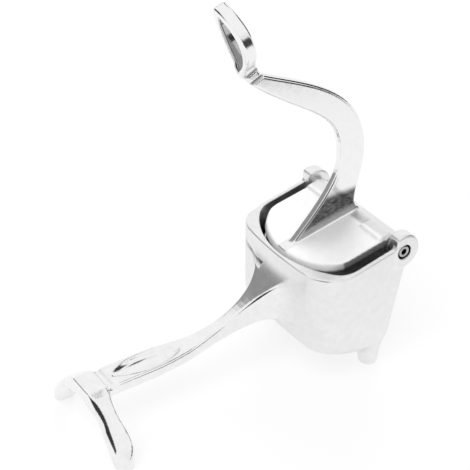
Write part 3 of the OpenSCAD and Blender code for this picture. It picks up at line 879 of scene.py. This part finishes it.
def lever_finish(x, y, z):
    """Polish of the lever's skin, and painted shade in its corners, hole, grooves and on the plate's sides.
    """
    side = np.abs(y)
    up = turned(x, z, PLATE_FALL)[1]
    arm_share = rise(up, *ARM_BUFF_ZONE)
    buffed = np.maximum(fall(side, *WEB_SIDE_ZONE) * rise(up, *WEB_UP_ZONE), arm_share)
    blasted = rise(up, *BLAST_START_ZONE) * fall(up, *BLAST_END_ZONE) * rise(-x, *BLAST_REACH_ZONE)
    polish = np.where(buffed > LEAST_BUFF, buffed, -BLAST * blasted)
    web_faces = rise(side, *FOOT_INNER_ZONE) * fall(side, *FOOT_OUTER_ZONE)
    web_foot = web_faces * fall(z, *FOOT_TOP_ZONE) * rise(up, *FOOT_UP_ZONE)
    hole_wall = fall(np.abs(loop_hole(x, y, z)), *HOLE_ZONE) * rise(z, *HOLE_UP_ZONE)
    grooves = fall(neck_grooves(x, y, z), *GROOVE_ZONE)
    plate_side = rise(side, *PLATE_SIDE_ZONE) * fall(up, *PLATE_TOP_ZONE) * rise(x, *PLATE_FRONT_ZONE)
    # Painted shade: the darkest of the web's foot, the hole's walls, the grooves and the plate's sides
    painted_shade = np.maximum.reduce([
        web_foot * (FOOT_DARK + (1 - FOOT_DARK) * arm_share),
        hole_wall * HOLE_DARK,
        grooves * GROOVE_DARK,
        plate_side * PLATE_SIDE_DARK,
    ])
    return polish, painted_shade


# Boxes that the pieces are meshed in, with the step of the grid
BODY_BOX = ((-183, -47, -80), (12.5, 47, 12.5), 0.8)
LEVER_BOX = ((-101, -36, -16), (8, 36, 158), 0.7)
STRAINER_BOX = ((-58, -42, -58), (10, 42, 4), 0.65)
SCREW_BOX = ((-3.8, -45.2, -3.8), (3.8, -30, 3.8), 0.16)

# Pieces
points, normals, quads = surface(body_field, *BODY_BOX)
body = add_piece("body_casting", points, normals, quads, body_metal)
polish, painted_shade = body_finish(*points.T)
add_values(body, "polish", polish)
add_values(body, "painted_shade", painted_shade)
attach(body, "base")
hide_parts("body")

points, normals, quads = surface(lever_field, *LEVER_BOX)
lever = add_piece("lever_casting", points, normals, quads, lever_metal)
polish, painted_shade = lever_finish(*points.T)
add_values(lever, "polish", polish)
add_values(lever, "painted_shade", painted_shade)
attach(lever, "lever")
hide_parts("press_lever")

points, normals, quads = surface(strainer_field, *STRAINER_BOX)
strainer = add_piece("strainer_basket", points, normals, quads, strainer_metal)
add_values(strainer, "polish", np.full(len(points), STRAINER_POLISH))
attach(strainer, "base")
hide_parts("strainer")

points, normals, quads = surface(screw_field, *SCREW_BOX)
radius = np.hypot(points[:, 0], points[:, 2])
# Painted shade in the screw's hex socket
socket_painted_shade = fall(radius, *SOCKET_ZONE) * rise(points[:, 1], *SOCKET_MOUTH_ZONE)
for name, node, flip in (("screw_near", "pivot_screw_near", 1), ("screw_far", "pivot_screw_far", -1)):
    mirror = np.array([1, flip, 1])
    order = quads if flip > 0 else quads[:, ::-1]
    screw = add_piece(name, points * mirror, normals * mirror, order, screw_steel)
    add_values(screw, "painted_shade", socket_painted_shade)
    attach(screw, "base")
    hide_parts(node)

# Pieces that keep their CAD shape
for node in ("pivot_rod", "pivot_spacer_near", "pivot_spacer_far"):
    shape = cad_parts[node]
    shape.data.materials.clear()
    shape.data.materials.append(rod_steel)

# Camera at the photograph's viewing angle, in metres and degrees
CAMERA_PLACE = (-0.3513, -0.5334, 0.5291)
CAMERA_DOWN = 34.128
CAMERA_TURN = -33.606

camera_data = bpy.data.cameras.new("camera")
camera_data.lens = 109.96
camera_data.sensor_width = 36
camera = bpy.data.objects.new("camera", camera_data)
camera.location = CAMERA_PLACE
camera.rotation_euler = (math.radians(90 - CAMERA_DOWN), 0, math.radians(CAMERA_TURN))
scene.collection.objects.link(camera)
scene.camera = camera

# Studio, in metres: floor, soft lights, and the dark cards that draw the metal's edges
MIDDLE = np.array([0.0, 0.0, 0.09])
FLOOR_SIZE = 8
FLOOR_Z = -0.0004
FLOOR_DARK = 0.88
FLOOR_LIGHT = 0.9
FLOOR_WHITE_SHARE = 0.8
WORLD_LIGHT = 0.55

# Lights: direction from the middle, distance, size and watts
LIGHTS = {
    "key_light": ((-0.5, -0.3, 0.9), 1.3, 0.9, 12),
    "fill_light": ((0.6, 0.7, 0.6), 1.4, 0.9, 8),
}

# Cards: direction from the middle, distance, width, height and tone
CARDS = {
    "card_camera": ((-0.7, -0.45, 0.47), 1.5, 1.35, 1.2, 0.04),
    "card_right": ((0.92, -0.25, 0.26), 1.5, 1.15, 1.1, 0.03),
    "card_left": ((-0.5, 0.7, 0.33), 1.5, 1.3, 1.25, 0.3),
    "card_far": ((0.54, 0.84, 0.06), 1.2, 0.3, 0.34, 0.04),
    "card_low": ((0.2, -0.32, -0.07), 0.39, 0.3, 0.22, 0.05),
    "card_top": ((0.458, -0.13, 0.86), 1.4, 0.5, 0.4, 0.04),
}


def unit(direction):
    return np.array(direction, float) / np.linalg.norm(direction)


def direction_euler(away):
    """Turn that points the local +Z axis along a direction."""
    a = unit(away)
    return (math.acos(a[2]), 0.0, math.atan2(a[0], -a[1]))


def plane(name, centre, away, width, height, material):
    """Flat stage piece at a place, square to a direction."""
    mesh = bpy.data.meshes.new(name)
    w, h = width / 2, height / 2
    mesh.from_pydata([(-w, -h, 0), (w, -h, 0), (w, h, 0), (-w, h, 0)], [], [(0, 1, 2, 3)])
    mesh.materials.append(material)
    card = bpy.data.objects.new(name, mesh)
    card.location = centre
    card.rotation_euler = direction_euler(away)
    scene.collection.objects.link(card)
    return card


def floor_material():
    """Pale paper that keeps the shadow, and mostly white to the camera and in reflections."""
    material = bpy.data.materials.new("floor_paper")
    n = Nodes(material)
    n.tree.nodes.remove(n.tree.nodes["Principled BSDF"])
    paper = n.add("BsdfDiffuse", {"Color": n.mix(n.noise(*PAPER), grey(FLOOR_DARK), grey(FLOOR_LIGHT))})
    white = n.add("Emission", {"Color": grey(1.0), "Strength": 1.0})
    share = n.math("MULTIPLY", n.background_ray(), FLOOR_WHITE_SHARE)
    joined = n.add("MixShader", {0: share, 1: paper.outputs[0], 2: white.outputs[0]})
    n.put(n.tree.nodes["Material Output"], "Surface", joined.outputs[0])
    return material


def card_material(name, tone):
    material = bpy.data.materials.new(name)
    n = Nodes(material)
    n.tree.nodes.remove(n.tree.nodes["Principled BSDF"])
    dark = n.add("Emission", {"Color": grey(tone), "Strength": 1.0})
    n.put(n.tree.nodes["Material Output"], "Surface", dark.outputs[0])
    return material


def dark_card(name, direction, distance, width, height, tone):
    """Card that only the metal's reflections show."""
    away = distance * unit(direction)
    card = plane(name, MIDDLE + away, away, width, height, card_material(name, tone))
    card.visible_camera = False
    card.visible_diffuse = False
    card.visible_shadow = False


def soft_light(name, direction, distance, size, watts):
    data = bpy.data.lights.new(name, "AREA")
    data.shape = "SQUARE"
    data.size = size
    data.energy = watts
    light = bpy.data.objects.new(name, data)
    light.location = MIDDLE + distance * unit(direction)
    light.rotation_euler = direction_euler(direction)
    light.visible_glossy = False
    scene.collection.objects.link(light)


def set_world():
    """Plain light from all round, white to the camera and in reflections."""
    world = bpy.data.worlds.new("studio")
    n = Nodes(world)
    background = n.tree.nodes["Background"]
    n.put(background, "Color", grey(1.0))
    n.put(background, "Strength", n.ramp(n.background_ray(), 0, 1, WORLD_LIGHT, 1.0))
    scene.world = world


plane("floor", (0, 0, FLOOR_Z), (0, 0, 1), FLOOR_SIZE, FLOOR_SIZE, floor_material())
for name, setting in LIGHTS.items():
    soft_light(name, *setting)
for name, setting in CARDS.items():
    dark_card(name, *setting)
set_world()
scene.view_settings.view_transform = "Standard"
